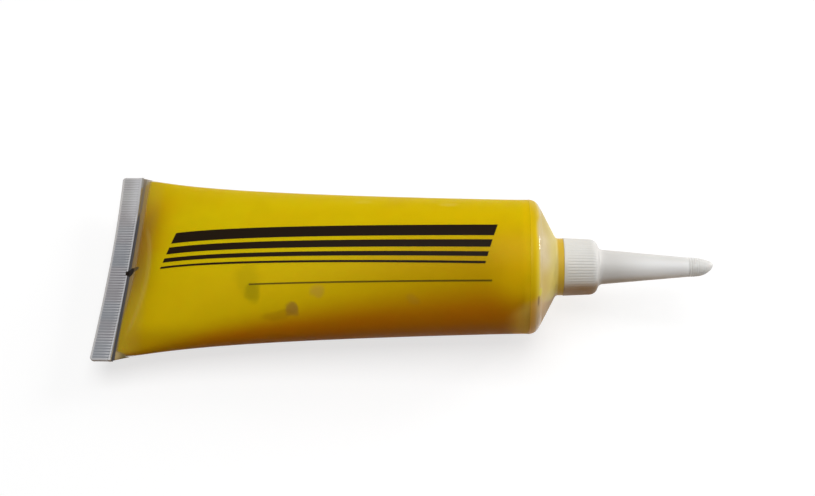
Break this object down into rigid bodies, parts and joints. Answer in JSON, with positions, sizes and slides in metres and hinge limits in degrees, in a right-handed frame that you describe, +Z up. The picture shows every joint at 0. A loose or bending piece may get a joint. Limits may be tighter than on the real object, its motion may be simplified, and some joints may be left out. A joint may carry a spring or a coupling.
{
  "type": "grease tube",
  "caption": "Soft clear squeeze tube filled with yellow grease, with a flat ribbed heat-sealed tail, a tapered screw-on nozzle with a ribbed collar, and a push-on tip cap.",
  "frame": {"origin": "centre of the tube's outline, on the surface that it lies on", "axes": "+X from the sealed tail to the nozzle, +Y across the tube, +Z up; the tube's own axis rises 4.3 degrees towards the nozzle"},
  "size_m": [0.1594, 0.055, 0.0353],
  "materials": {
    "clear_film": "clear soft polyethylene film, satin gloss",
    "clear_head": "clear moulded polyethylene",
    "grease": "smooth yellow grease",
    "white_plastic": "satin moulded polyethylene",
    "cap_plastic": "satin moulded polyethylene"
  },
  "bodies": {
    "tube": {"tube_sleeve": "clear_film", "tube_head": "clear_head", "grease_fill": "grease"},
    "nozzle_core": {"nozzle_grease": "grease"},
    "nozzle": {"nozzle": "white_plastic"},
    "tip_cap": {"tip_cap": "cap_plastic"}
  },
  "joints": [
    {"name": "nozzle_advance", "type": "slide", "parent": "tube", "child": "nozzle_core", "axis": [0.9972, 0, 0.075], "range_m": [0, 0.008]},
    {"name": "nozzle_turn", "type": "hinge", "parent": "nozzle_core", "child": "nozzle", "pos_m": [0.04494, 0, 0.01882], "axis": [0.9972, 0, 0.075], "range_deg": [0, 960.5]},
    {"name": "tip_cap_pull", "type": "slide", "parent": "nozzle", "child": "tip_cap", "axis": [0.9972, 0, 0.075], "range_m": [0, 0.012]}
  ],
  "couplings": [
    {"joint": "nozzle_turn", "follows": "nozzle_advance", "rad_per_m": 2094.4}
  ]
}
